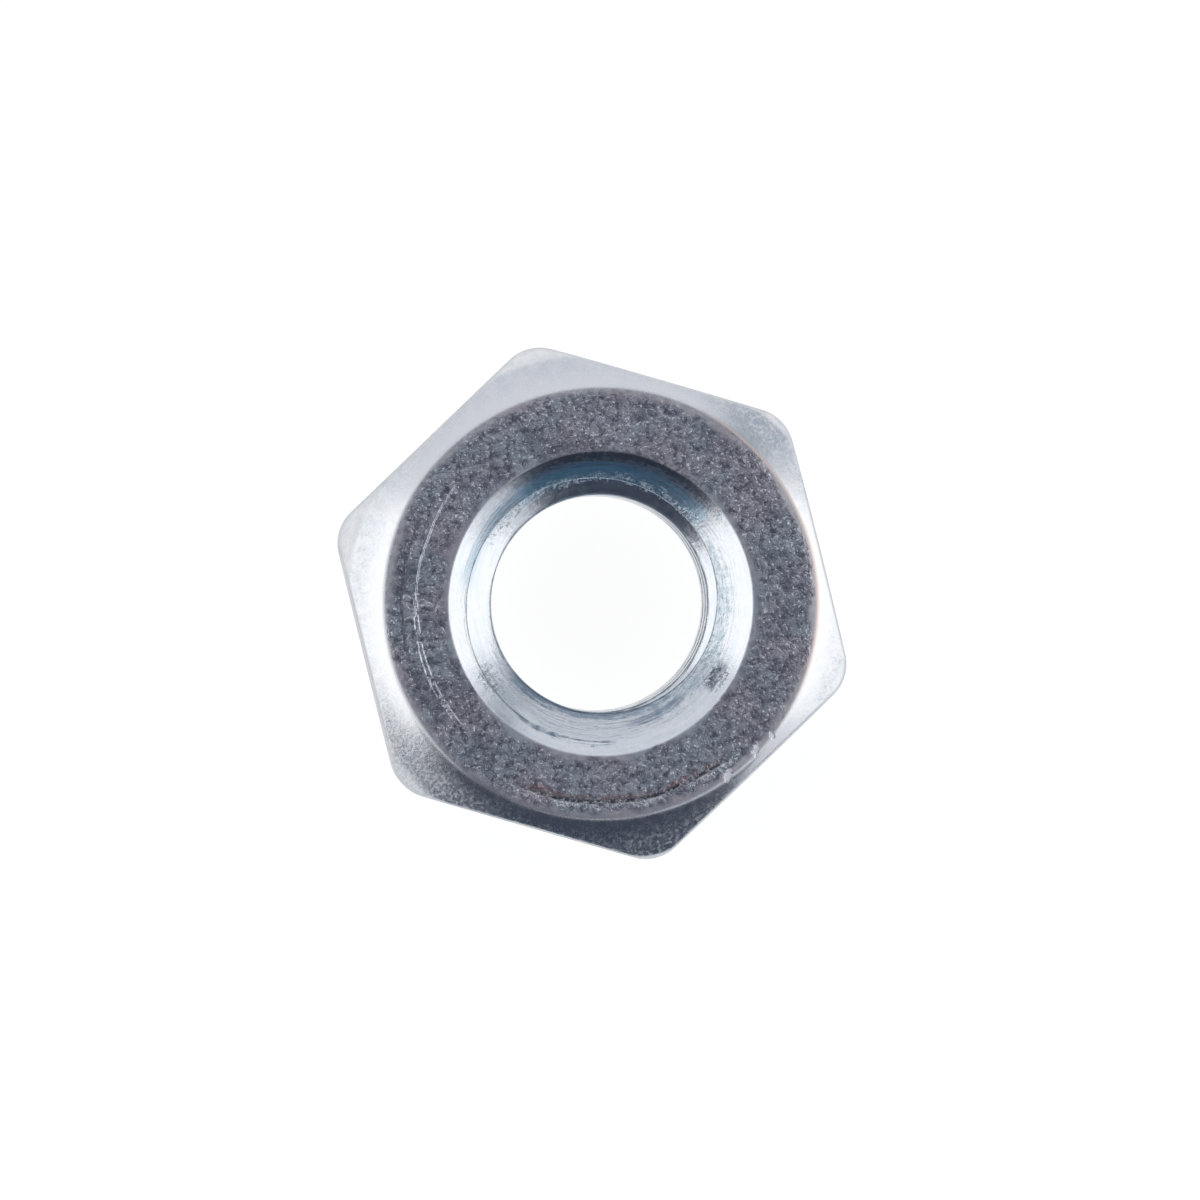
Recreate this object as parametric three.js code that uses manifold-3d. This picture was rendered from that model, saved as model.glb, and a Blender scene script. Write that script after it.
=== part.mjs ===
// Hex nut, M4 x 0.7, right-hand thread: cold formed from steel wire, tapped and zinc plated.
// It is one solid piece of steel, so the group holds one mesh.
// Millimetres, +Z up along the thread. The bearing face lies at z = 0 and the origin is
// under the middle of the hexagon, with two of the six flats square to X.

import * as THREE from "three";
import { mergeVertices } from "three/addons/utils/BufferGeometryUtils.js";
import Module from "manifold-3d";

const wasm = await Module();
wasm.setup();

// ---------------------------------------------------------------- driving dimensions

const acrossFlats = 7.0;
const nutHeight = 3.2;
const cornerRounding = 0.63; // radius on the six upright edges

const threadMajorDiameter = 4.0;
const threadPitch = 0.7;
const threadMinorAllowance = 0.016; // how much wider the bore is than the basic minor diameter
const threadRootClearance = 0.05; // how far the tap cuts outside the major radius
const threadStartAngle = 247.5; // turns the whole helix about the bore, degrees

const countersinkMargin = 0.29; // mouth edge outside the thread's major radius
const mouthAngle = 120; // included angle of the shallow cone at each mouth, degrees
const mouthBandWidth = 0.15; // how far the shallow cone runs in from the mouth's edge
const throatAngle = 100; // included angle of the steeper cone inside it, degrees

const faceRimInset = 0.275; // round edge of each face, inside the flats
const chamferSlope = 30; // down from each face towards the corners, degrees
const cornerBevelInset = 0.134; // where the steeper corner bevel starts, inside the corner tips
const cornerBevelSlope = 60; // degrees

// The chamfers, the countersinks and the thread share one axis, a little off the middle
// of the hexagon.
const boreOffsetX = 0.1;
const boreOffsetY = -0.03;

const faceSegments = 96; // facets round the chamfers
const cornerSegments = 6; // facets on each half of an upright edge
const boreSegments = 48; // facets round the bore, for each turn of the thread
const overrun = 0.4; // how far a cutting solid runs past what it cuts

// ---------------------------------------------------------------- sizes that follow

const flats = 6;
const flatRadius = acrossFlats / 2;
const halfCorner = Math.PI / flats;
const sharpCornerRadius = flatRadius / Math.cos(halfCorner);
const cornerTipRadius = sharpCornerRadius - cornerRounding * (1 / Math.cos(halfCorner) - 1);
const faceRimRadius = flatRadius - faceRimInset;
const cornerBevelRadius = cornerTipRadius - cornerBevelInset;

const flankAngle = Math.PI / 6; // of each flank of the 60 degree thread, from square
const sharpThreadHeight = threadPitch / (2 * Math.tan(flankAngle));
const threadMajorRadius = threadMajorDiameter / 2;
const threadDepth = (5 / 8) * sharpThreadHeight - threadMinorAllowance / 2;
const threadMinorRadius = threadMajorRadius - threadDepth;
const threadRootRadius = threadMajorRadius + threadRootClearance;
const countersinkRadius = threadMajorRadius + countersinkMargin;
const throatRadius = countersinkRadius - mouthBandWidth;

// ---------------------------------------------------------------- solids from geometries

// The closed solid that a geometry bounds, for joining and cutting.
function solidFrom(geometry) {
  const bare = geometry.clone();
  bare.deleteAttribute("normal");
  bare.deleteAttribute("uv");
  const merged = mergeVertices(bare);
  const mesh = new wasm.Mesh({
    numProp: 3,
    vertProperties: merged.attributes.position.array,
    triVerts: new Uint32Array(merged.index.array),
  });
  return new wasm.Manifold(mesh);
}

// The geometry of a solid, with a flat normal on each facet.
function geometryFrom(solid) {
  const mesh = solid.getMesh();
  const indexed = new THREE.BufferGeometry();
  indexed.setAttribute("position", new THREE.BufferAttribute(mesh.vertProperties, 3));
  indexed.setIndex(new THREE.BufferAttribute(mesh.triVerts, 1));
  const faceted = indexed.toNonIndexed();
  faceted.computeVertexNormals();
  return faceted;
}

// A profile of [radius, z] points turned about the bore's axis.
function turned(profile, segments) {
  const points = profile.map(([radius, z]) => new THREE.Vector2(radius, z));
  const geometry = new THREE.LatheGeometry(points, segments);
  geometry.rotateX(Math.PI / 2);
  geometry.translate(boreOffsetX, boreOffsetY, 0);
  return solidFrom(geometry);
}

// How far a cone of this slope falls while its radius grows from one value to another.
function coneDrop(fromRadius, toRadius, slope) {
  return (toRadius - fromRadius) * Math.tan(THREE.MathUtils.degToRad(slope));
}

// ---------------------------------------------------------------- hexagonal blank

// The outline of the hexagon: an arc round each corner, and the flats between them.
function hexagonOutline() {
  const outline = new THREE.Shape();
  const arcCentreRadius = sharpCornerRadius - cornerRounding / Math.cos(halfCorner);
  for (let corner = 0; corner < flats; corner += 1) {
    const angle = (2 * corner + 1) * halfCorner;
    const x = arcCentreRadius * Math.cos(angle);
    const y = arcCentreRadius * Math.sin(angle);
    outline.absarc(x, y, cornerRounding, angle - halfCorner, angle + halfCorner, false);
  }
  outline.closePath();
  return outline;
}

// The outline drawn up into a prism that runs past both faces.
function hexagonPrism() {
  const geometry = new THREE.ExtrudeGeometry(hexagonOutline(), {
    depth: nutHeight + 2 * overrun,
    bevelEnabled: false,
    curveSegments: cornerSegments,
  });
  geometry.translate(0, 0, -overrun);
  return solidFrom(geometry);
}

// ---------------------------------------------------------------- faces and chamfers

// Both faces with their chamfers: a shallow cone out from the round edge of each face, then
// a steeper one over the corners. The prism is cut to the inside of this.
function chamferedDisc() {
  const outerRadius = cornerTipRadius + overrun;
  const bevelDepth = coneDrop(faceRimRadius, cornerBevelRadius, chamferSlope);
  const outerDepth = bevelDepth + coneDrop(cornerBevelRadius, outerRadius, cornerBevelSlope);
  const profile = [
    [0, 0],
    [faceRimRadius, 0],
    [cornerBevelRadius, bevelDepth],
    [outerRadius, outerDepth],
    [outerRadius, nutHeight - outerDepth],
    [cornerBevelRadius, nutHeight - bevelDepth],
    [faceRimRadius, nutHeight],
    [0, nutHeight],
  ];
  return turned(profile, faceSegments);
}

// ---------------------------------------------------------------- bore and thread

// The two cones that open each mouth of the bore: the shallow one, run on past the face,
// and the steeper one inside it, run on down to its tip.
function countersinks() {
  const mouthTangent = Math.tan(THREE.MathUtils.degToRad(mouthAngle / 2));
  const throatTangent = Math.tan(THREE.MathUtils.degToRad(throatAngle / 2));
  const throatDepth = mouthBandWidth / mouthTangent;
  const tipDepth = throatDepth + throatRadius / throatTangent;
  const openRadius = countersinkRadius + overrun * mouthTangent;
  const lower = [
    [0, -overrun],
    [openRadius, -overrun],
    [throatRadius, throatDepth],
    [0, tipDepth],
  ];
  const upper = lower.map(([radius, z]) => [radius, nutHeight - z]).reverse();
  return turned(lower, boreSegments).add(turned(upper, boreSegments));
}

// The drilled bore that the thread is cut from.
function tapCore() {
  const profile = [
    [0, -overrun],
    [threadMinorRadius, -overrun],
    [threadMinorRadius, nutHeight + overrun],
    [0, nutHeight + overrun],
  ];
  return turned(profile, boreSegments);
}

// Half the width of the tap's tooth at a radius, by the slope of its flanks.
function toothHalfWidth(radius) {
  const widthAtMajor = threadPitch / 8;
  return widthAtMajor / 2 + (threadMajorRadius - radius) * Math.tan(flankAngle);
}

// The tooth's section drawn out straight, then wound into a right-hand helix: the length
// drawn becomes the angle round the bore, and the tooth climbs one pitch for each turn.
function tapTooth() {
  const buriedRadius = threadMinorRadius - threadPitch / 16;
  const section = new THREE.Shape();
  section.moveTo(buriedRadius, -toothHalfWidth(buriedRadius));
  section.lineTo(threadRootRadius, -toothHalfWidth(threadRootRadius));
  section.lineTo(threadRootRadius, toothHalfWidth(threadRootRadius));
  section.lineTo(buriedRadius, toothHalfWidth(buriedRadius));
  section.closePath();
  const turns = Math.ceil((nutHeight + 2 * overrun) / threadPitch);
  const geometry = new THREE.ExtrudeGeometry(section, {
    depth: turns,
    steps: turns * boreSegments,
    bevelEnabled: false,
  });
  const position = geometry.getAttribute("position");
  for (let i = 0; i < position.count; i += 1) {
    const radius = position.getX(i);
    const turn = position.getZ(i);
    const angle = 2 * Math.PI * turn;
    const height = turn * threadPitch - position.getY(i) - overrun;
    position.setXYZ(i, radius * Math.cos(angle), radius * Math.sin(angle), height);
  }
  geometry.rotateZ(THREE.MathUtils.degToRad(threadStartAngle));
  geometry.translate(boreOffsetX, boreOffsetY, 0);
  return solidFrom(geometry);
}

// ---------------------------------------------------------------- zinc-plated steel

function zincPlatedSteel() {
  return new THREE.MeshStandardMaterial({ color: 0xa9adb6, roughness: 0.35, metalness: 1 });
}

// ---------------------------------------------------------------- the nut

const blank = hexagonPrism().intersect(chamferedDisc());
const body = blank.subtract(countersinks()).subtract(tapCore().add(tapTooth()));

const nutBody = new THREE.Mesh(geometryFrom(body), zincPlatedSteel());
nutBody.name = "nut_body";

const nut = new THREE.Group();
nut.add(nutBody);

export default nut;
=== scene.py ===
"""A plain M4 hex nut in zinc-plated steel, lying on a sheet of white acrylic lit from below.

Metres, with +Z up along the thread. Inside the nut's material, lengths are in millimetres.
"""
import math

import bpy
import numpy as np
from mathutils import Matrix, Vector


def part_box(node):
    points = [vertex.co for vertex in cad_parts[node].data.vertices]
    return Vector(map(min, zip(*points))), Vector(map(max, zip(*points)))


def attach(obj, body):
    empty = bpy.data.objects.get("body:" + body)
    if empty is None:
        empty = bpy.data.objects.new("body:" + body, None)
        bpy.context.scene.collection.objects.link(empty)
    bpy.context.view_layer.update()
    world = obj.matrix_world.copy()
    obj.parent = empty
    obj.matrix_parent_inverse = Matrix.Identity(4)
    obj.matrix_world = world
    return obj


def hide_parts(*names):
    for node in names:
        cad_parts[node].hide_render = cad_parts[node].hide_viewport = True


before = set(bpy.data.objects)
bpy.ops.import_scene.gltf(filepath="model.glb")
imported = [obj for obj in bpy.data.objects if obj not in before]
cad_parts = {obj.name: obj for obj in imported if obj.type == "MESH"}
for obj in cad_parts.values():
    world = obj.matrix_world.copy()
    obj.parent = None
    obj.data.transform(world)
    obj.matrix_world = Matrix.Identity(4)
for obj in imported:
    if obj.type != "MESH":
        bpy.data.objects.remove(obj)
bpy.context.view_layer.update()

# ---------------------------------------------------------------- nut body
# The nut is one piece of low-carbon steel, headed cold into a hexagon in a die, punched, tapped
# and zinc plated in a barrel. The die leaves both faces flat inside a round edge, with a shallow
# chamfer out to the flats and a steeper one over the six corners.

MM = 0.001
flats = 6
half_corner = math.pi / flats
body_low, body_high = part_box("nut_body")
across_flats = body_high.x - body_low.x
nut_height = body_high.z - body_low.z
flat_radius = across_flats / 2
corner_rounding = 0.63 * MM
sharp_corner_radius = flat_radius / math.cos(half_corner)
corner_tip_radius = body_high.y

# the bore and the round edge of each face share an axis a little off the hexagon's middle
bore_x = 0.10 * MM
bore_y = -0.03 * MM

face_rim_radius = flat_radius - 0.275 * MM
corner_bevel_radius = corner_tip_radius - 0.115 * MM
bevel_shift_y = -0.065 * MM
chamfer_slope = math.tan(math.radians(30))
corner_bevel_slope = math.tan(math.radians(60))
mouth_slope = math.tan(math.radians(30))
throat_slope = math.tan(math.radians(40))

thread_pitch = 0.7 * MM
thread_major_radius = 2.0 * MM
thread_minor_radius = 1.629 * MM
thread_start_turn = 0.741
thread_root_half_width = thread_pitch / 16
thread_flank_slope = math.sqrt(3)
thread_root_radius = 2.06 * MM
mouth_radius = thread_major_radius + 0.29 * MM
throat_radius = mouth_radius - 0.15 * MM
throat_depth = (mouth_radius - throat_radius) * mouth_slope
past_throat = 0.05 * MM

# how far each edge is rounded over, to either side of it
rim_softness = 0.10 * MM
bevel_softness = 0.075 * MM
side_edge_softness = 0.055 * MM
mouth_softness = 0.02 * MM
crest_softness = 0.045 * MM
root_softness = 0.04 * MM
throat_softness = 0.05 * MM

# points of the grid round the bore, and rows of it over each part of the nut
columns = 448
edge_rows = 6
side_rows = 8
mouth_edge_rows = 5
low_cone_rows, thread_rows, top_cone_rows = 22, 68, 46
angle = np.arange(columns) * (2 * math.pi / columns)


def soft_ramp(x, width):
    """Nothing below -width, x above +width, and a parabola that joins the two between them."""
    return np.where(x > width, x, np.where(x < -width, 0.0, (x + width) ** 2 / (4 * width)))


def soft_larger(a, b, width):
    """The larger of two values, eased over by a parabola where they are within width."""
    closeness = np.clip(1 - np.abs(a - b) / width, 0, 1)
    return np.maximum(a, b) + closeness ** 2 * width / 4


def hexagon_reach(direction):
    """How far the bore's axis is from the rounded hexagon in each direction. A flat is met at
    (radius - normal . start) / (normal . direction), and the nearest of the six counts. Past
    the point where a corner's arc takes over, the ray meets a circle instead."""
    heading = np.stack([np.cos(direction), np.sin(direction)])
    start = np.array([bore_x, bore_y])
    normal_angle = np.arange(flats) * 2 * half_corner
    normals = np.stack([np.cos(normal_angle), np.sin(normal_angle)], axis=1)
    facing = normals @ heading
    ahead = np.where(facing > 1e-6, facing, np.nan)
    reach = np.nanmin((flat_radius - normals @ start)[:, None] / ahead, axis=0)
    corner_angle = normal_angle + half_corner
    outwards = np.stack([np.cos(corner_angle), np.sin(corner_angle)], axis=1)
    centres = outwards * (sharp_corner_radius - corner_rounding / math.cos(half_corner))
    for outward, centre in zip(outwards, centres):
        met = start[:, None] + reach * heading
        past = outward @ (met - centre[:, None]) > corner_rounding * math.cos(half_corner)
        along = (centre - start) @ heading
        aside = np.sum((centre - start) ** 2) - along ** 2
        on_arc = along + np.sqrt(np.maximum(corner_rounding ** 2 - aside, 0))
        reach = np.where(past, on_arc, reach)
    return reach


def shoulder_depth(radius):
    """Depth below the face at a radius: level to the round edge, then the chamfer's slope, then
    the corner bevel's, with each change of slope eased. The bevel's circle lies towards -Y."""
    chamfer = chamfer_slope * soft_ramp(radius - face_rim_radius, rim_softness)
    extra_slope = corner_bevel_slope - chamfer_slope
    past_bevel = radius - corner_bevel_radius - bevel_shift_y * np.sin(angle)
    return chamfer + extra_slope * soft_ramp(past_bevel, bevel_softness)


def shoulder_rows(reach, face_rows, rim_rows, chamfer_rows):
    """Radius and depth of each row from the mouth's edge out over the face and the chamfer, and
    round the edge onto the flats. The last rows are a parabola from slope to upright."""
    eased_in = face_rim_radius - rim_softness
    eased_out = face_rim_radius + rim_softness
    flat = np.linspace(mouth_radius + mouth_softness, eased_in, face_rows, endpoint=False)
    rim = np.linspace(eased_in, eased_out, rim_rows, endpoint=False)
    level = np.concatenate([flat, rim])[:, None] + 0 * reach
    share = np.linspace(0, 1, chamfer_rows, endpoint=False)[:, None]
    cone = eased_out + share * (reach - side_edge_softness - eased_out)
    radius = np.concatenate([level, cone])
    depth = shoulder_depth(radius)
    t = np.linspace(0, 1, edge_rows)[:, None]
    start_radius = reach - side_edge_softness
    start_depth = shoulder_depth(start_radius)
    edge_depth = shoulder_depth(reach)
    end_depth = edge_depth + side_edge_softness
    edge_r = (1 - t) ** 2 * start_radius + 2 * t * (1 - t) * reach + t ** 2 * reach
    edge_d = (1 - t) ** 2 * start_depth + 2 * t * (1 - t) * edge_depth + t ** 2 * end_depth
    return np.concatenate([radius, edge_r]), np.concatenate([depth, edge_d])


def mouth_cone_radius(depth):
    """Radius of a mouth at a depth below its face: a shallow cone, then a steeper one."""
    shallow = mouth_radius - depth / mouth_slope
    steep = throat_radius - (depth - throat_depth) / throat_slope
    return soft_larger(shallow, steep, throat_softness)


def bore_radius(direction, z):
    """Radius of the bore at each angle and height: the thread's 60 degree V, repeated one pitch
    apart and climbing one pitch a turn, and the cones that open the two mouths."""
    turns = z / thread_pitch - direction / (2 * math.pi) - thread_start_turn
    from_groove = np.abs(turns - np.round(turns)) * thread_pitch
    flank = thread_major_radius - (from_groove - thread_root_half_width) * thread_flank_slope
    groove = -soft_larger(-flank, -thread_root_radius + 0 * flank, root_softness)
    thread = soft_larger(groove, thread_minor_radius + 0 * flank, crest_softness)
    upper = mouth_cone_radius(nut_height - z)
    lower = mouth_cone_radius(z)
    return soft_larger(soft_larger(thread, upper, crest_softness), lower, crest_softness)


def mouth_rows(rows):
    """Radius and depth of each row round the mouth's edge, from the cone up onto the face."""
    inside = mouth_radius - mouth_softness
    outside = mouth_radius + mouth_softness
    radius = np.linspace(inside, outside, rows, endpoint=False)
    depth = mouth_slope * soft_ramp(mouth_radius - radius, mouth_softness)
    return radius[:, None] + 0 * angle, depth[:, None] + 0 * angle


def nut_skin():
    """One closed skin on a grid that goes round the bore's axis one way, and the other way out
    over the top face, down the flats, in over the bearing face and up the bore. With it comes
    a share for each point: one on the flats, nothing elsewhere, eased over at the edges."""
    reach = hexagon_reach(angle)
    top_r, top_d = shoulder_rows(reach, face_rows=10, rim_rows=8, chamfer_rows=16)
    low_r, low_d = shoulder_rows(reach, face_rows=5, rim_rows=6, chamfer_rows=9)
    side_share = np.linspace(0, 1, side_rows, endpoint=False)[1:, None]
    top_edge_z = nut_height - top_d[-1]
    low_edge_z = low_d[-1]
    side_z = top_edge_z + side_share * (low_edge_z - top_edge_z)
    side_r = reach + 0 * side_z
    mouth_r, mouth_d = mouth_rows(mouth_edge_rows)
    first_z = mouth_slope * mouth_softness
    cone_z = throat_depth + (throat_radius - thread_minor_radius) * throat_slope + past_throat
    low_cone = np.linspace(first_z, cone_z, low_cone_rows, endpoint=False)
    thread = np.linspace(cone_z, nut_height - cone_z, thread_rows, endpoint=False)
    top_cone = np.linspace(nut_height - cone_z, nut_height - first_z, top_cone_rows, endpoint=False)
    bore_z = np.concatenate([low_cone, thread, top_cone])[:, None] + 0 * angle
    bore_r = bore_radius(angle[None, :], bore_z)
    edge_share = np.linspace(0, 1, edge_rows)[:, None] + 0 * angle
    top_share = np.concatenate([0 * top_r[:-edge_rows], edge_share])
    low_share = np.concatenate([0 * low_r[:-edge_rows], edge_share])
    parts = [
        (top_r, nut_height - top_d, top_share),
        (side_r, side_z, 1 + 0 * side_r),
        (low_r[::-1], low_d[::-1], low_share[::-1]),
        (mouth_r[::-1], mouth_d[::-1], 0 * mouth_r),
        (bore_r, bore_z, 0 * bore_r),
        (mouth_r, nut_height - mouth_d, 0 * mouth_r),
    ]
    radius = np.concatenate([part[0] for part in parts])
    z = np.concatenate([part[1] for part in parts])
    share = np.concatenate([part[2] for part in parts])
    x = bore_x + radius * np.cos(angle)
    y = bore_y + radius * np.sin(angle)
    return np.stack([x, y, z], axis=-1), share


def closed_grid_mesh(name, points):
    """A mesh from a grid of points that closes on itself both ways, so it has no border. Rows
    run first and columns second, and each face takes them in that order to point outwards."""
    rows, cols = points.shape[:2]
    index = np.arange(rows * cols).reshape(rows, cols)
    below = np.roll(index, -1, axis=0)
    right = np.roll(index, -1, axis=1)
    both = np.roll(below, -1, axis=1)
    quads = np.stack([index, below, both, right], axis=-1).reshape(-1, 4)
    mesh = bpy.data.meshes.new(name)
    mesh.vertices.add(rows * cols)
    mesh.vertices.foreach_set("co", points.reshape(-1).astype(np.float32))
    mesh.loops.add(quads.size)
    mesh.loops.foreach_set("vertex_index", quads.reshape(-1).astype(np.int32))
    mesh.polygons.add(len(quads))
    mesh.polygons.foreach_set("loop_start", np.arange(len(quads), dtype=np.int32) * 4)
    mesh.polygons.foreach_set("use_smooth", np.ones(len(quads), dtype=bool))
    mesh.update(calc_edges=True)
    mesh.validate()
    piece = bpy.data.objects.new(name, mesh)
    bpy.context.scene.collection.objects.link(piece)
    return piece


skin, flats_share = nut_skin()
nut = closed_grid_mesh("zinc_plated_nut", skin)
flats_record = nut.data.attributes.new("flats_share", "FLOAT", "POINT")
flats_record.data.foreach_set("value", flats_share.reshape(-1).astype(np.float32))

# The plating is bright zinc under a clear bluish passivate. The pressed faces are grained like
# orange peel, the rims are burnished smooth, and tumbling has left nicks and drag marks. Some
# shade, reflections and highlights are painted into its colour as well.

zinc = bpy.data.materials.new("bright_zinc_plate")
zinc.use_nodes = True
nodes = zinc.node_tree.nodes
links = zinc.node_tree.links
shader = nodes["Principled BSDF"]


def feed(socket, value):
    """Gives a socket its value: a link from another socket, or a plain number or colour."""
    if isinstance(value, bpy.types.NodeSocket):
        links.new(value, socket)
    else:
        socket.default_value = value


def calc(operation, *values):
    """The result of one Math node."""
    node = nodes.new("ShaderNodeMath")
    node.operation = operation
    for socket, value in zip(node.inputs, values):
        feed(socket, value)
    return node.outputs[0]


def product(*values):
    """All the values multiplied together."""
    result = values[0]
    for value in values[1:]:
        result = calc("MULTIPLY", result, value)
    return result


def total(*values):
    """All the values added together."""
    result = values[0]
    for value in values[1:]:
        result = calc("ADD", result, value)
    return result


def eased(value, low, high, at_low=0.0, at_high=1.0):
    """One range mapped onto another with eased ends, and held level outside it."""
    node = nodes.new("ShaderNodeMapRange")
    node.interpolation_type = "SMOOTHSTEP"
    names = ("Value", "From Min", "From Max", "To Min", "To Max")
    for name, number in zip(names, (value, low, high, at_low, at_high)):
        feed(node.inputs[name], number)
    return node.outputs["Result"]


def swing(noise):
    """Noise moved to run from half below nothing to half above it."""
    return calc("SUBTRACT", noise, 0.5)


def without(share):
    """What is left of one when a share is taken away."""
    return calc("SUBTRACT", 1.0, share)


def larger(*values):
    """The largest of the values."""
    result = values[0]
    for value in values[1:]:
        result = calc("MAXIMUM", result, value)
    return result


def blob(centre_x, centre_y, turn, half_long, half_wide, roughen):
    """One inside a ragged oval about a place in millimetres, its long way turned from +X."""
    aside_x = calc("SUBTRACT", axes.outputs[0], centre_x)
    aside_y = calc("SUBTRACT", axes.outputs[1], centre_y)
    cosine = math.cos(math.radians(turn))
    sine = math.sin(math.radians(turn))
    lengthways = total(product(aside_x, cosine / half_long), product(aside_y, sine / half_long))
    crossways = total(product(aside_x, -sine / half_wide), product(aside_y, cosine / half_wide))
    away = calc("SQRT", total(product(lengthways, lengthways), product(crossways, crossways)))
    return eased(total(away, product(swing(roughen), 2.0)), 0.5, 1.2, 1.0, 0.0)


def band(value, centre, half_width, softness):
    """One within half_width of the centre, eased to nothing over the softness outside it."""
    away = calc("ABSOLUTE", calc("SUBTRACT", value, centre))
    return eased(away, half_width, half_width + softness, 1.0, 0.0)


def grain(place, scale, detail, roughness=0.5):
    """Noise between 0 and 1, with so many features to a millimetre."""
    node = nodes.new("ShaderNodeTexNoise")
    feed(node.inputs["Vector"], place)
    feed(node.inputs["Scale"], scale)
    feed(node.inputs["Detail"], detail)
    feed(node.inputs["Roughness"], roughness)
    return node.outputs[0]


def lengthened(place, tilt, turn, along, across):
    """Places squeezed along one tilted direction and spread across it, for noise in long lines."""
    turned = nodes.new("ShaderNodeVectorRotate")
    turned.rotation_type = "EULER_XYZ"
    feed(turned.inputs["Vector"], place)
    feed(turned.inputs["Rotation"], (math.radians(tilt), 0.0, math.radians(turn)))
    scaled = nodes.new("ShaderNodeVectorMath")
    scaled.operation = "MULTIPLY"
    feed(scaled.inputs[0], turned.outputs[0])
    feed(scaled.inputs[1], (across, across, along))
    return scaled.outputs[0]


def point(x, y, z):
    """A vector made from three numbers."""
    node = nodes.new("ShaderNodeCombineXYZ")
    for socket, value in zip(node.inputs, (x, y, z)):
        feed(socket, value)
    return node.outputs[0]


def tinted(share, first, second):
    """A colour part of the way from the first to the second."""
    node = nodes.new("ShaderNodeMix")
    node.data_type = "RGBA"
    feed(node.inputs["Factor"], share)
    feed(node.inputs["A"], first)
    feed(node.inputs["B"], second)
    return node.outputs["Result"]


# where a point lies, in millimetres, and its bearing from the bore
place_m = nodes.new("ShaderNodeTexCoord").outputs["Object"]
scaling = nodes.new("ShaderNodeVectorMath")
scaling.operation = "SCALE"
feed(scaling.inputs[0], place_m)
feed(scaling.inputs["Scale"], 1 / MM)
place = scaling.outputs[0]
axes = nodes.new("ShaderNodeSeparateXYZ")
feed(axes.inputs[0], place)
from_bore_x = calc("SUBTRACT", axes.outputs[0], bore_x / MM)
from_bore_y = calc("SUBTRACT", axes.outputs[1], bore_y / MM)
height = axes.outputs[2]
radius_squared = total(product(from_bore_x, from_bore_x), product(from_bore_y, from_bore_y))
radius = calc("SQRT", radius_squared)
heading_x = calc("DIVIDE", from_bore_x, radius)
heading_y = calc("DIVIDE", from_bore_y, radius)


def sector(centre, half_span, softness):
    """One inside a wedge seen from the bore, in degrees from +X, eased out at both ends."""
    lean_x = product(heading_x, math.cos(math.radians(centre)))
    lean_y = product(heading_y, math.sin(math.radians(centre)))
    far = math.cos(math.radians(half_span + softness))
    near = math.cos(math.radians(half_span))
    return eased(total(lean_x, lean_y), far, near)


# the regions of the nut, each a share from nothing to one
mouth_mm = mouth_radius / MM
rim_mm = face_rim_radius / MM
height_mm = nut_height / MM
top_side = eased(height, 0.5 * height_mm, 0.6 * height_mm)
in_mouth = eased(height, height_mm - 0.70, height_mm - 0.58)
flats_reader = nodes.new("ShaderNodeAttribute")
flats_reader.attribute_name = "flats_share"
on_flats = flats_reader.outputs["Fac"]
in_bore = eased(radius, mouth_mm - 0.03, mouth_mm + 0.01, 1.0, 0.0)
past_rim = eased(radius, rim_mm - 0.08, rim_mm + 0.04)
on_face = product(without(in_bore), without(past_rim))
on_chamfer = product(eased(radius, rim_mm, rim_mm + 0.50), without(on_flats))

# the noises that the finish is made of, from the widest features to the finest
coarse = grain(place, 1.3, 3.0)
wander = grain(place, 2.0, 2.0)
blotches = grain(place, 5.0, 3.0, 0.6)
mottle = grain(place, 9.0, 3.0, 0.75)
speckle = grain(place, 19.0, 2.0, 0.6)
broken = eased(blotches, 0.36, 0.50)
uneven = eased(blotches, 0.30, 0.62)
hollows = eased(mottle, 0.38, 0.60, 1.0, 0.0)
flecks = eased(speckle, 0.50, 0.64)

# burnished bands inside the rim and round the mouth, of uneven width
waver = product(swing(wander), 0.34)
wavering_radius = total(radius, waver)
outer_band = eased(wavering_radius, rim_mm - 0.13, rim_mm - 0.01)
inner_band = eased(wavering_radius, mouth_mm, mouth_mm + 0.11, 1.0, 0.0)
burnish = larger(outer_band, inner_band)
grained = product(on_face, without(product(burnish, 0.85)))

# two corners and one side of the chamfer where tumbling has worn the plating dull
left_corner = sector(212, 18, 16)
worn_sectors = total(sector(31, 10, 14), sector(212, 12, 20), product(sector(262, 30, 20), 0.5))
worn_patch = product(eased(coarse, 0.30, 0.66), total(0.15, worn_sectors))

# drag marks: thin rings round part of the face, and a trench with rust along its inner edge
drag_radius, branch_radius, shadow_radius = 2.78, 2.65, 3.00
trench_inside, trench_radius, trench_outside = 2.91, 2.98, 3.05
trail = product(swing(grain(place, 1.1, 2.0)), 0.10)
trail_radius = total(radius, trail)
scratch_line = product(
    band(trail_radius, drag_radius, 0.004, 0.014), sector(150, 20, 5), top_side
)
scratch_rest = product(
    band(trail_radius, drag_radius, 0.020, 0.025), sector(186, 18, 5), top_side, broken
)
scratch_branch = product(
    band(radius, branch_radius, 0.08, 0.03), sector(167, 0.1, 0.4), top_side, 0.7
)
scratch = larger(scratch_line, scratch_rest, scratch_branch)
shadow_ring = product(
    band(trail_radius, shadow_radius, 0.010, 0.05), sector(168, 22, 14), top_side
)
trench_speck = eased(mottle, 0.36, 0.56)
trench = product(
    band(trail_radius, trench_radius, 0.010, 0.045), sector(264, 24, 12), top_side, trench_speck
)
trench_edge = product(
    band(trail_radius, trench_inside, 0.01, 0.05), sector(266, 28, 12), top_side
)
trench_spark = product(
    band(trail_radius, trench_outside, 0.010, 0.05), sector(264, 26, 12), top_side, broken
)

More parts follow.
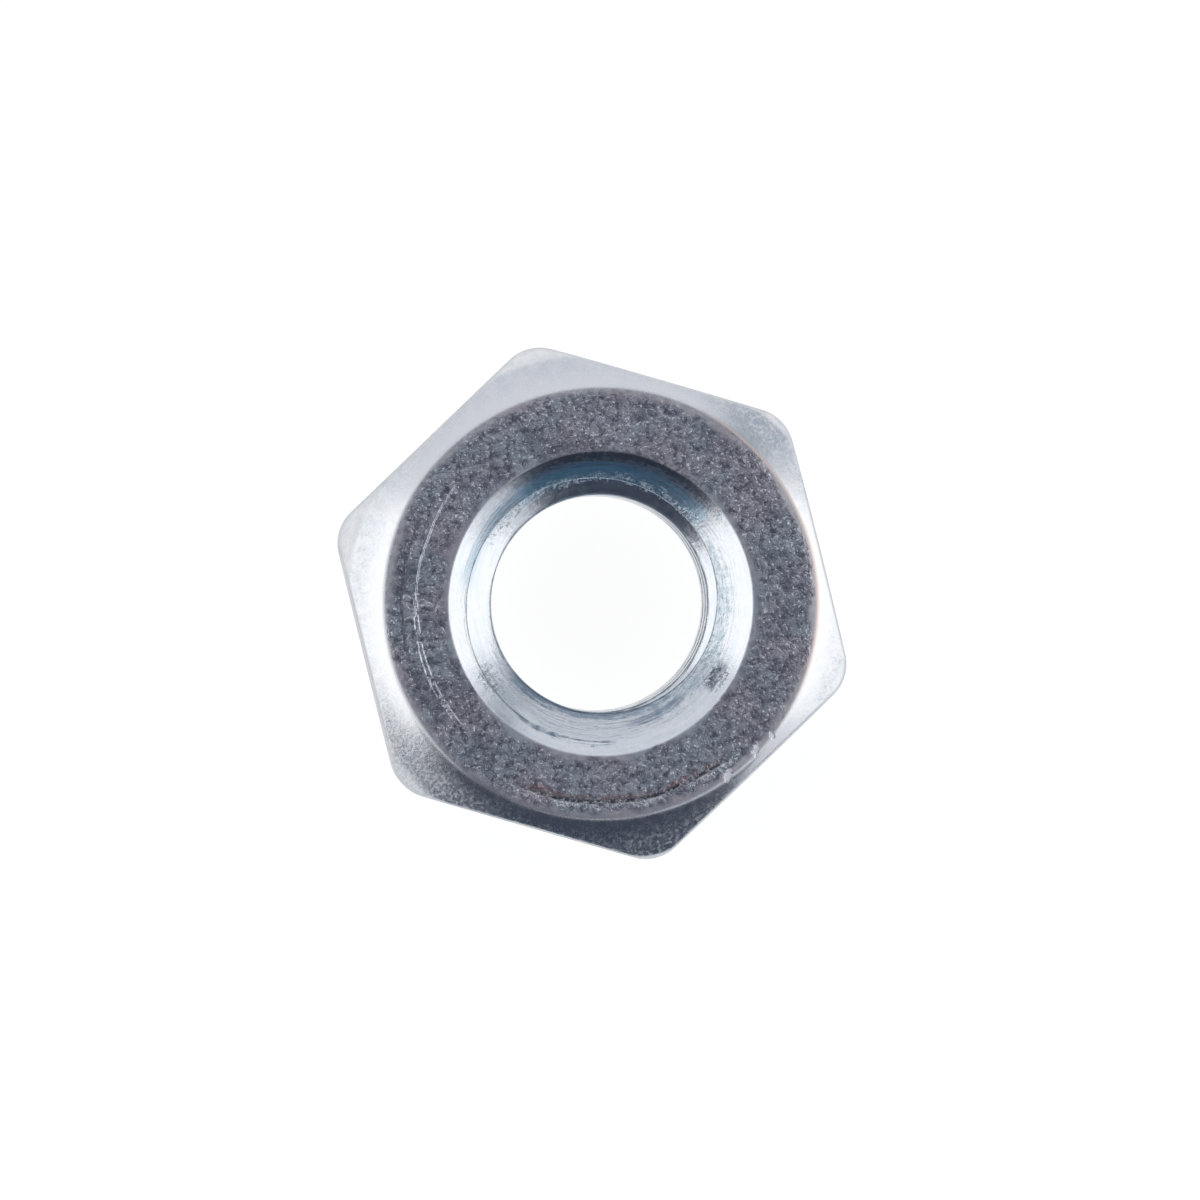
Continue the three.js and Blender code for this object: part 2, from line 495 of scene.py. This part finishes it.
# nicks on the rim, knocked in by the corners of other nuts
nick_one = blob(1.83, -2.71, 70, 0.10, 0.045, speckle)
nick_two = blob(1.33, -2.99, 62, 0.09, 0.055, speckle)
nick_three = blob(2.12, -2.56, 80, 0.06, 0.04, speckle)
nicks = product(larger(nick_one, nick_two, nick_three), top_side)

# the bore: fine rings from the tap, and torn and dull places that it left in the first turn, with
# painted shade, painted reflections and a painted highlight in the upper side of the mouth
burr_radius, run_out_radius, tap_start_radius, tear_radius = 2.06, 2.00, 1.81, 1.865
tool_line_radius, crest_radius, wedge_radius = 2.08, 1.675, 2.02
teal_reflection_radius, lip_radius, crest_highlight_radius = 1.99, 2.24, 1.905
ring_place = product(total(height, product(radius, 0.8)), 14.0)
turned_place = point(product(heading_x, 3.0), product(heading_y, 3.0), ring_place)
streaks = grain(turned_place, 1.0, 4.0, 0.65)
streak_swing = swing(streaks)
ragged = total(radius, product(streak_swing, 0.22), product(swing(mottle), 0.10))
shreds = total(radius, product(streak_swing, 0.25), product(swing(speckle), 0.30))
stretched = total(radius, product(streak_swing, 0.30))
burr = product(band(shreds, burr_radius, 0.06, 0.06), sector(-46, 2, 6), in_mouth)
run_out = product(band(shreds, run_out_radius, 0.05, 0.08), sector(201, 2, 7), in_mouth)
tap_start = product(band(ragged, tap_start_radius, 0.08, 0.10), sector(-32, 42, 14), in_mouth)
tear = product(
    band(stretched, tear_radius, 0.015, 0.06),
    sector(-77, 7, 11),
    in_mouth,
    eased(streaks, 0.2, 0.6, 0.9, 0.5),
)
tool_line = product(
    band(ragged, tool_line_radius, 0.003, 0.05),
    sector(-119, 14, 10),
    in_mouth,
    total(0.25, uneven),
)
crest_band = product(band(ragged, crest_radius, 0.03, 0.07), sector(-109, 40, 14), in_mouth)
# painted reflection: a bluish wedge on the mouth's cone
painted_wedge_reflection = product(band(ragged, wedge_radius, 0.05, 0.07), sector(128, 20, 16), in_mouth)
# painted reflection: a teal band on the upward flanks at the top of the mouth
painted_teal_reflection = product(band(ragged, teal_reflection_radius, 0.10, 0.08), sector(70, 42, 5), in_mouth)
# painted shade: a dark band round the top edge of the mouth, where the cone lies in shadow
painted_shade_lip = product(band(shreds, lip_radius, 0.04, 0.06), sector(66, 26, 18), in_mouth)
# painted highlight: a bright line along the thread's crest at the top of the mouth, on real relief
painted_crest_highlight = product(
    band(shreds, crest_highlight_radius, 0.010, 0.045),
    sector(80, 48, 14),
    in_mouth,
    total(0.10, product(uneven, 0.90)),
)
torn = total(burr, run_out, product(tap_start, 0.35), product(painted_crest_highlight, 1.5))

# the flats: fine upright lines from the die, and slanting scuffs from the barrel
die_lines = grain(lengthened(place, 0, 0, 0.7, 9.0), 1.0, 4.0, 0.62)
scuff_one = eased(grain(lengthened(place, 50, 20, 0.5, 20.0), 1.0, 1.0), 0.67, 0.75)
scuff_two = eased(grain(lengthened(place, -62, 75, 0.7, 16.0), 1.0, 1.0), 0.68, 0.76)
scuffs = product(larger(scuff_one, scuff_two), on_flats, 0.35)

# relief: how far each of these stands above the surface or lies below it, in millimetres
chamfer_grain = product(
    on_chamfer, total(0.0022, product(worn_patch, 0.0022), product(left_corner, 0.0030))
)
grain_depth = total(product(grained, 0.016), chamfer_grain, product(trench_spark, 0.014))
mark_height = total(
    product(eased(speckle, 0.60, 0.74), grained, 0.002),
    product(scratch, 0.006),
    product(scratch_rest, 0.008),
    product(nicks, -0.010),
    product(trench, -0.012),
    product(shadow_ring, -0.004),
)
flats_height = total(
    product(swing(die_lines), on_flats, 0.010),
    product(swing(mottle), on_flats, 0.005),
    product(scuffs, -0.003),
)
surface_height = total(
    product(swing(speckle), grain_depth),
    product(swing(mottle), product(grained, 0.014)),
    product(streak_swing, in_bore, 0.006),
    product(swing(mottle), in_bore, 0.003),
    mark_height,
    product(swing(mottle), torn, 0.020),
    flats_height,
)
bump = nodes.new("ShaderNodeBump")
feed(bump.inputs["Height"], surface_height)
feed(bump.inputs["Distance"], MM)
feed(bump.inputs["Strength"], 1.0)
feed(shader.inputs["Normal"], bump.outputs[0])

# colours of the clean plating, and of painted highlights on it
cool_zinc = (0.67, 0.73, 0.77, 1)
warm_zinc = (0.73, 0.695, 0.745, 1)
chamfer_zinc = (0.755, 0.765, 0.785, 1)
bore_zinc = (0.69, 0.735, 0.78, 1)
pale_bore_zinc = (0.77, 0.785, 0.81, 1)
rim_zinc = (0.82, 0.755, 0.765, 1)
rim_highlight_zinc = (0.98, 0.94, 0.96, 1)
nick_and_glint_white = (0.95, 0.97, 1.0, 1)
crest_highlight_white = (0.90, 0.95, 1.0, 1)
die_grey = (0.40, 0.435, 0.475, 1)
pale_die_grey = (0.48, 0.495, 0.53, 1)

# colours of the stained, pitted and torn places, and of painted shade and reflections in the bore
bore_dull = (0.40, 0.47, 0.54, 1)
wedge_reflection_blue = (0.42, 0.53, 0.62, 1)
teal_reflection_blue = (0.56, 0.76, 0.90, 1)
lip_painted_shade = (0.26, 0.27, 0.30, 1)
tap_dull = (0.42, 0.52, 0.58, 1)
burr_dark = (0.10, 0.13, 0.18, 1)
run_out_dark = (0.22, 0.26, 0.31, 1)
tear_dark = (0.10, 0.16, 0.26, 1)
tool_line_dark = (0.18, 0.24, 0.30, 1)
crest_dark = (0.26, 0.34, 0.42, 1)
pit_dark = (0.18, 0.18, 0.23, 1)
patch_dark = (0.20, 0.21, 0.27, 1)
cloud_dark = (0.24, 0.25, 0.31, 1)
stain_blue = (0.56, 0.63, 0.70, 1)
wear_grey = (0.40, 0.42, 0.47, 1)
trench_black = (0.08, 0.07, 0.08, 1)
shadow_grey = (0.22, 0.21, 0.25, 1)
edge_brown = (0.62, 0.49, 0.43, 1)
rust_brown = (0.45, 0.22, 0.19, 1)
die_line_dark = (0.27, 0.295, 0.335, 1)
die_pit_dark = (0.24, 0.26, 0.30, 1)
scuff_pale = (0.78, 0.80, 0.84, 1)

# the face, chamfer, bore and rim before any marks
tone = tinted(eased(coarse, 0.35, 0.65), cool_zinc, warm_zinc)
tone = tinted(past_rim, tone, chamfer_zinc)
bore_tone = tinted(eased(streaks, 0.35, 0.65), bore_zinc, pale_bore_zinc)
bore_pits = eased(mottle, 0.35, 0.60, 1.0, 0.0)
bore_tone = tinted(product(bore_pits, 0.18), bore_tone, bore_dull)
tone = tinted(in_bore, tone, bore_tone)
tone = tinted(product(outer_band, on_face, 0.7), tone, rim_zinc)
# painted highlight: the burnished band made paler in two sectors, where it catches the light
painted_rim_highlight = product(outer_band, on_face, total(sector(4, 22, 12), sector(-62, 5, 8)))
tone = tinted(painted_rim_highlight, tone, rim_highlight_zinc)

# the marks in the bore, with the painted shade, reflections and crest highlight among them
# the next four tints are painted reflections, painted shade and a painted highlight
tone = tinted(product(painted_wedge_reflection, 0.70), tone, wedge_reflection_blue)
tone = tinted(product(painted_teal_reflection, 0.70), tone, teal_reflection_blue)
tone = tinted(product(painted_shade_lip, 0.75), tone, lip_painted_shade)
tone = tinted(product(painted_crest_highlight, 0.35), tone, crest_highlight_white)
half_hollows = product(hollows, 0.5)
tone = tinted(product(tap_start, total(0.3, half_hollows)), tone, tap_dull)
tone = tinted(product(burr, total(0.50, half_hollows)), tone, burr_dark)
tone = tinted(product(run_out, total(0.25, half_hollows)), tone, run_out_dark)
tone = tinted(tear, tone, tear_dark)
tone = tinted(product(tool_line, 0.9), tone, tool_line_dark)
tone = tinted(product(crest_band, 0.8), tone, crest_dark)

# the grain of the face: dark pits and patches, with bright nicks and painted glints
pits = product(eased(mottle, 0.30, 0.58, 1.0, 0.0), grained)
tone = tinted(product(pits, 0.85), tone, pit_dark)
dull_patch = product(eased(blotches, 0.50, 0.66), grained)
tone = tinted(product(dull_patch, 0.38), tone, patch_dark)
clouds = product(eased(wander, 0.50, 0.68), grained)
tone = tinted(product(clouds, 0.48), tone, cloud_dark)
# painted glints: specks of the face tinted nearly white, as highlights
painted_glints = product(eased(speckle, 0.62, 0.76), grained, 0.55)
tone = tinted(larger(painted_glints, nicks), tone, nick_and_glint_white)

# the chamfers: a bluish stain and fine wear
stain_share = total(0.34, product(sector(31, 24, 20), 0.34))
stain = product(eased(blotches, 0.40, 0.60), on_chamfer, stain_share)
tone = tinted(stain, tone, stain_blue)
fine_pits = eased(speckle, 0.36, 0.62, 1.0, 0.0)
wear_share = total(0.17, product(worn_patch, 0.40), product(left_corner, 0.40))
chamfer_wear = product(on_chamfer, wear_share)
tone = tinted(product(fine_pits, chamfer_wear), tone, wear_grey)

# the trench, the shadowed drag ring, the brown edge of the rim and the rust
tone = tinted(product(trench, 0.9), tone, trench_black)
tone = tinted(product(shadow_ring, 0.55), tone, shadow_grey)
warm_edge = product(band(radius, rim_mm + 0.02, 0.005, 0.055), sector(4, 34, 16), top_side)
tone = tinted(product(warm_edge, 0.65), tone, edge_brown)
rust = product(trench_edge, eased(blotches, 0.35, 0.6))
tone = tinted(product(rust, 0.55), tone, rust_brown)

# the flats
flats_tone = tinted(eased(wander, 0.35, 0.65), die_grey, pale_die_grey)
flats_tone = tinted(product(eased(die_lines, 0.42, 0.66), 0.45), flats_tone, die_line_dark)
flats_pits = eased(mottle, 0.36, 0.60, 1.0, 0.0)
flats_tone = tinted(product(flats_pits, 0.30), flats_tone, die_pit_dark)
flats_tone = tinted(scuffs, flats_tone, scuff_pale)
tone = tinted(on_flats, tone, flats_tone)
feed(shader.inputs["Base Color"], tone)
shader.inputs["Metallic"].default_value = 1.0

polish = 0.17
corner_rough = product(sector(212, 12, 14), 0.09)
rough = total(
    polish,
    product(on_face, 0.12),
    product(on_face, burnish, 0.14),
    product(on_chamfer, total(0.09, corner_rough, product(flecks, 0.20))),
    product(painted_crest_highlight, flecks, 0.50),
    product(on_flats, 0.10),
    product(eased(mottle, 0.3, 0.7), 0.08),
    product(nicks, 0.45),
)
feed(shader.inputs["Roughness"], rough)
nut.data.materials.append(zinc)

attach(nut, "root")
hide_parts("nut_body")

# ---------------------------------------------------------------- camera
# It hangs 130 mm above the nut and looks almost straight down the thread, leaning a little to
# one side. The view is turned, so that no side of the hexagon is level in it.

view_roll = math.radians(13.9)
view_right = Vector((math.cos(view_roll), -math.sin(view_roll), 0))
view_up = Vector((math.sin(view_roll), math.cos(view_roll), 0))
lean = math.radians(2.4)
camera_distance = 0.130
view_width = 17.968 * MM
aim = Vector((0, 0, nut_height)) + 0.0895 * MM * view_right + 0.048 * MM * view_up
camera_back = Vector((0, 0, math.cos(lean))) - math.sin(lean) * view_right


def place_facing(thing, position, target, upward):
    """Puts a thing at a position with its -Z towards the target and its Y as upward as it goes."""
    back = (position - target).normalized()
    across = upward.cross(back).normalized()
    upright = back.cross(across)
    turn = Matrix((across, upright, back)).transposed().to_4x4()
    thing.matrix_world = Matrix.Translation(position) @ turn


camera_data = bpy.data.cameras.new("camera")
camera = bpy.data.objects.new("camera", camera_data)
bpy.context.scene.collection.objects.link(camera)
camera_data.sensor_width = 36.0
camera_data.lens = camera_data.sensor_width * camera_distance / view_width
camera_data.clip_start = 1 * MM
camera_data.clip_end = 10.0
place_facing(camera, aim + camera_back * camera_distance, aim, view_up)
bpy.context.scene.camera = camera

# ---------------------------------------------------------------- table
# A sheet of white acrylic, cut square and laid level. It is lit from underneath, so nothing
# that lies on it throws a shadow.

table_half = 0.5
table_gap = 0.02 * MM
table_colour = (0.15, 0.15, 0.15)
table_glow = 0.94


def flat_card(name, half_x, half_y, colour, glow):
    """A flat square-cornered card about the origin, facing +Z, with a plain matt finish."""
    corners = [
        (-half_x, -half_y, 0),
        (half_x, -half_y, 0),
        (half_x, half_y, 0),
        (-half_x, half_y, 0),
    ]
    mesh = bpy.data.meshes.new(name)
    mesh.from_pydata(corners, [], [(0, 1, 2, 3)])
    finish = bpy.data.materials.new(name + "_finish")
    finish.use_nodes = True
    matt = finish.node_tree.nodes["Principled BSDF"]
    matt.inputs["Base Color"].default_value = (*colour, 1)
    matt.inputs["Roughness"].default_value = 0.9
    matt.inputs["Specular IOR Level"].default_value = 0.0
    matt.inputs["Emission Color"].default_value = (1, 1, 1, 1)
    matt.inputs["Emission Strength"].default_value = glow
    mesh.materials.append(finish)
    card = bpy.data.objects.new(name, mesh)
    bpy.context.scene.collection.objects.link(card)
    return card


table = flat_card("table", table_half, table_half, table_colour, table_glow)
table.location.z = -table_gap

# ---------------------------------------------------------------- light
# A pale room, a soft white panel on each side, and matt cards for the plating to reflect: one
# over the camera, two on the near side and one on the far side.

room_colour = (0.80, 0.82, 0.87, 1)
world = bpy.data.worlds.new("pale_room")
world.use_nodes = True
world.node_tree.nodes["Background"].inputs["Color"].default_value = room_colour
bpy.context.scene.world = world

nut_foot = Vector((0, 0, 0))
straight_up = Vector((0, 0, 1))
panel_distance = 0.30
panel_elevation = math.radians(24)
panel_depth = 0.25
panel_radiance = 0.58
panel_colour = (1.0, 0.97, 0.90)


def round_the_nut(azimuth, elevation, distance):
    """A place at a distance from the nut, by its bearing from the right of the view and its
    height above the table: cos(elevation) along the bearing and sin(elevation) upwards."""
    level = math.cos(azimuth) * view_right + math.sin(azimuth) * view_up
    return distance * (math.cos(elevation) * level + math.sin(elevation) * straight_up)


def side_panel(name, azimuth, width):
    """A soft panel of even brightness that faces the nut from one bearing."""
    lamp = bpy.data.lights.new(name, "AREA")
    lamp.shape = "RECTANGLE"
    lamp.size = width
    lamp.size_y = panel_depth
    lamp.energy = math.pi * width * panel_depth * panel_radiance
    lamp.color = panel_colour
    panel = bpy.data.objects.new(name, lamp)
    bpy.context.scene.collection.objects.link(panel)
    position = round_the_nut(azimuth, panel_elevation, panel_distance)
    place_facing(panel, position, nut_foot, straight_up)


side_panel("left_panel", math.radians(186.5), 0.34)
side_panel("right_panel", 0.0, 0.29)


def hang_card(name, azimuth, elevation, distance, half_x, half_y, colour):
    """A card that faces the nut from a bearing and a height, both in degrees."""
    position = round_the_nut(math.radians(azimuth), math.radians(elevation), distance)
    card = flat_card(name, half_x, half_y, colour, 0.0)
    place_facing(card, position, nut_foot, straight_up)


over_half = 0.13
over_height = 0.2
slate = (0.140, 0.152, 0.192)
dark_slate = (0.052, 0.063, 0.092)
deep_teal = (0.05, 0.145, 0.215)
pale_grey = (0.42, 0.47, 0.52)
over_card = flat_card("card_over", over_half, over_half, slate, 0.0)
over_card.location.z = over_height
hang_card("card_near", 266, 33, 0.22, 0.184, 0.077, dark_slate)
hang_card("card_low", 275, 7, 0.24, 0.29, 0.030, deep_teal)
hang_card("card_far", 46, 28, 0.30, 0.035, 0.08, pale_grey)

bpy.context.scene.view_settings.view_transform = "Standard"
